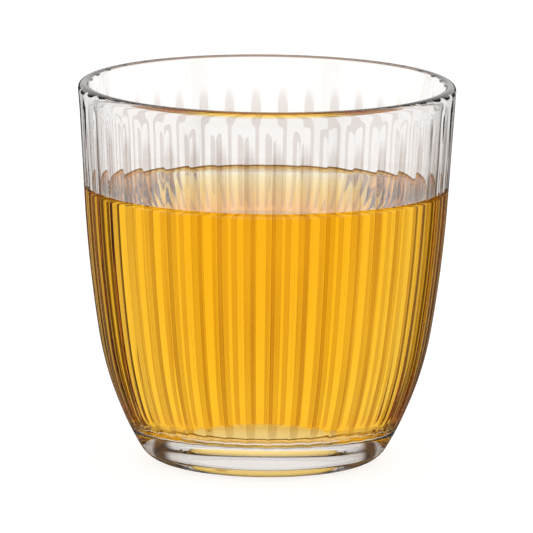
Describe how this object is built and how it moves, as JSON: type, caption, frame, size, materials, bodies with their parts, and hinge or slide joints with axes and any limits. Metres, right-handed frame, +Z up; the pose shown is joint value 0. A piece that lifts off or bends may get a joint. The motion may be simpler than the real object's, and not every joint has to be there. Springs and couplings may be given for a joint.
{
  "type": "glass of apple juice",
  "caption": "Round-bellied glass tumbler with upright flutes round the outside of its wall, about three quarters full of clear golden apple juice.",
  "frame": {"origin": "centre of the flat foot, at the surface that the tumbler stands on", "axes": "+Z up along the tumbler's axis; the shape is round about +Z, so +X and +Y are free"},
  "size_m": [0.086, 0.086, 0.0868],
  "materials": {
    "glass": "clear, fire-polished",
    "juice": "clear golden liquid"
  },
  "bodies": {
    "root": {"tumbler": "glass", "apple_juice": "juice"}
  },
  "joints": []
}
